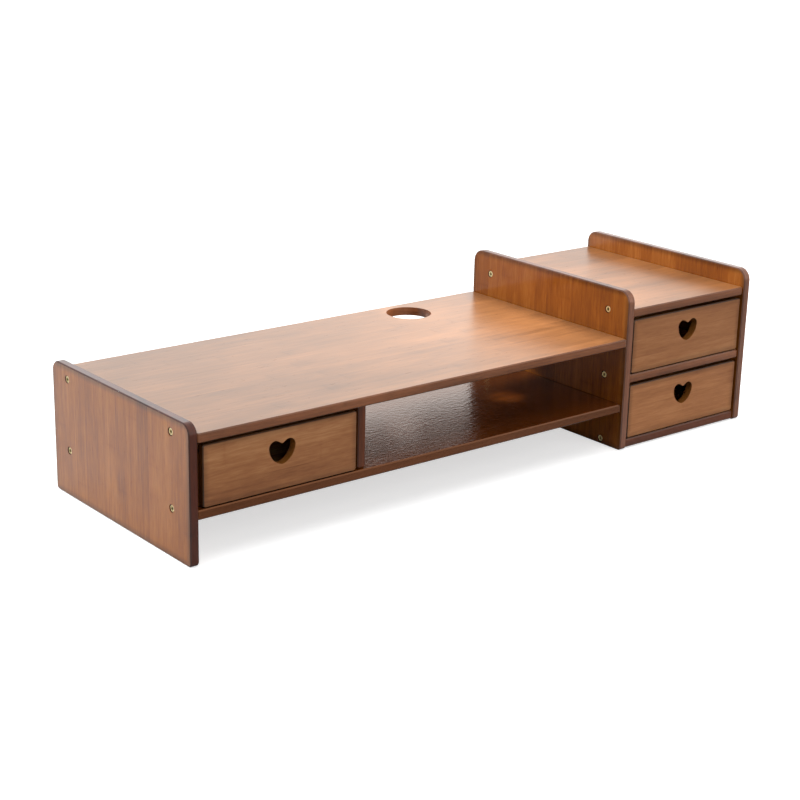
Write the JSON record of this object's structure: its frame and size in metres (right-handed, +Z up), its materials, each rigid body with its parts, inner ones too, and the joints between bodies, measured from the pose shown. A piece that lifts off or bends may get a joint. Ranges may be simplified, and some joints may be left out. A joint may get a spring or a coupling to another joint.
{
  "type": "laptop stand with drawers",
  "caption": "Long two-level wooden laptop and monitor riser with an open compartment, a side tower and inset drawers with heart-shaped finger holes.",
  "frame": {"origin": "middle of the footprint, on the surface that the stand rests on", "axes": "+X along the length towards the tower, -Y towards the user (the drawers open that way), +Z up"},
  "size_m": [0.8, 0.27, 0.191],
  "materials": {
    "bamboo_panel": "carbonised bamboo under semi-gloss lacquer",
    "bamboo_board": "carbonised bamboo under glossy lacquer",
    "bamboo_drawer_front": "lighter carbonised bamboo, satin lacquer",
    "bamboo_drawer_box": "carbonised bamboo, satin lacquer",
    "bamboo_ply_bottom": "thin bamboo ply, satin lacquer",
    "beech_dowel": "raw beech",
    "brass_screw": "yellow zinc plate, satin"
  },
  "bodies": {
    "frame": {"left_side_panel": "bamboo_panel", "middle_side_panel": "bamboo_panel", "right_side_panel": "bamboo_panel", "main_top_board": "bamboo_board", "main_lower_shelf": "bamboo_board", "drawer_divider": "bamboo_panel", "tower_top_board": "bamboo_board", "tower_mid_shelf": "bamboo_board", "tower_bottom_board": "bamboo_board", "divider_dowels": "beech_dowel", "left_panel_screws": "brass_screw", "middle_panel_screws": "brass_screw", "middle_panel_inner_screws": "brass_screw", "right_panel_screws": "brass_screw", "left_drawer_stop": "bamboo_drawer_box", "upper_drawer_stop": "bamboo_drawer_box", "lower_drawer_stop": "bamboo_drawer_box"},
    "left_drawer": {"left_drawer_front": "bamboo_drawer_front", "left_drawer_left_side": "bamboo_drawer_box", "left_drawer_right_side": "bamboo_drawer_box", "left_drawer_back": "bamboo_drawer_box", "left_drawer_bottom": "bamboo_ply_bottom", "left_drawer_dowels": "beech_dowel"},
    "upper_drawer": {"upper_drawer_front": "bamboo_drawer_front", "upper_drawer_left_side": "bamboo_drawer_box", "upper_drawer_right_side": "bamboo_drawer_box", "upper_drawer_back": "bamboo_drawer_box", "upper_drawer_bottom": "bamboo_ply_bottom", "upper_drawer_dowels": "beech_dowel"},
    "lower_drawer": {"lower_drawer_front": "bamboo_drawer_front", "lower_drawer_left_side": "bamboo_drawer_box", "lower_drawer_right_side": "bamboo_drawer_box", "lower_drawer_back": "bamboo_drawer_box", "lower_drawer_bottom": "bamboo_ply_bottom", "lower_drawer_dowels": "beech_dowel"}
  },
  "joints": [
    {"name": "left_drawer_slide", "type": "slide", "parent": "frame", "child": "left_drawer", "axis": [0, -1, 0], "range_m": [0, 0.19]},
    {"name": "upper_drawer_slide", "type": "slide", "parent": "frame", "child": "upper_drawer", "axis": [0, -1, 0], "range_m": [0, 0.19]},
    {"name": "lower_drawer_slide", "type": "slide", "parent": "frame", "child": "lower_drawer", "axis": [0, -1, 0], "range_m": [0, 0.19]}
  ]
}
